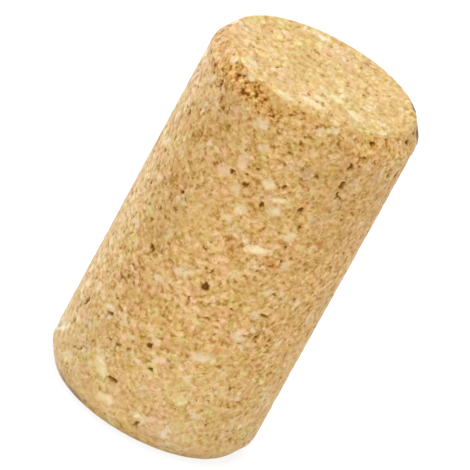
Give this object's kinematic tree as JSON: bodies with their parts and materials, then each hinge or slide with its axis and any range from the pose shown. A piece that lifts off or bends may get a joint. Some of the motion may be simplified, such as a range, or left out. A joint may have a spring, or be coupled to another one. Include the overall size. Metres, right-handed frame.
{
  "type": "cork stopper",
  "caption": "Straight cylindrical stopper of pressed cork granules, with a chamfer at each end and small voids in its surface.",
  "frame": {"origin": "middle of the lower end face, on the stopper's axis", "axes": "+Z along the stopper's axis, from the lower end face to the upper; -Y towards the side with the measured voids"},
  "size_m": [0.022, 0.022, 0.0384],
  "materials": {
    "cork": "matt, ground surface of pressed cork granules"
  },
  "bodies": {
    "root": {"stopper": "cork"}
  },
  "joints": []
}
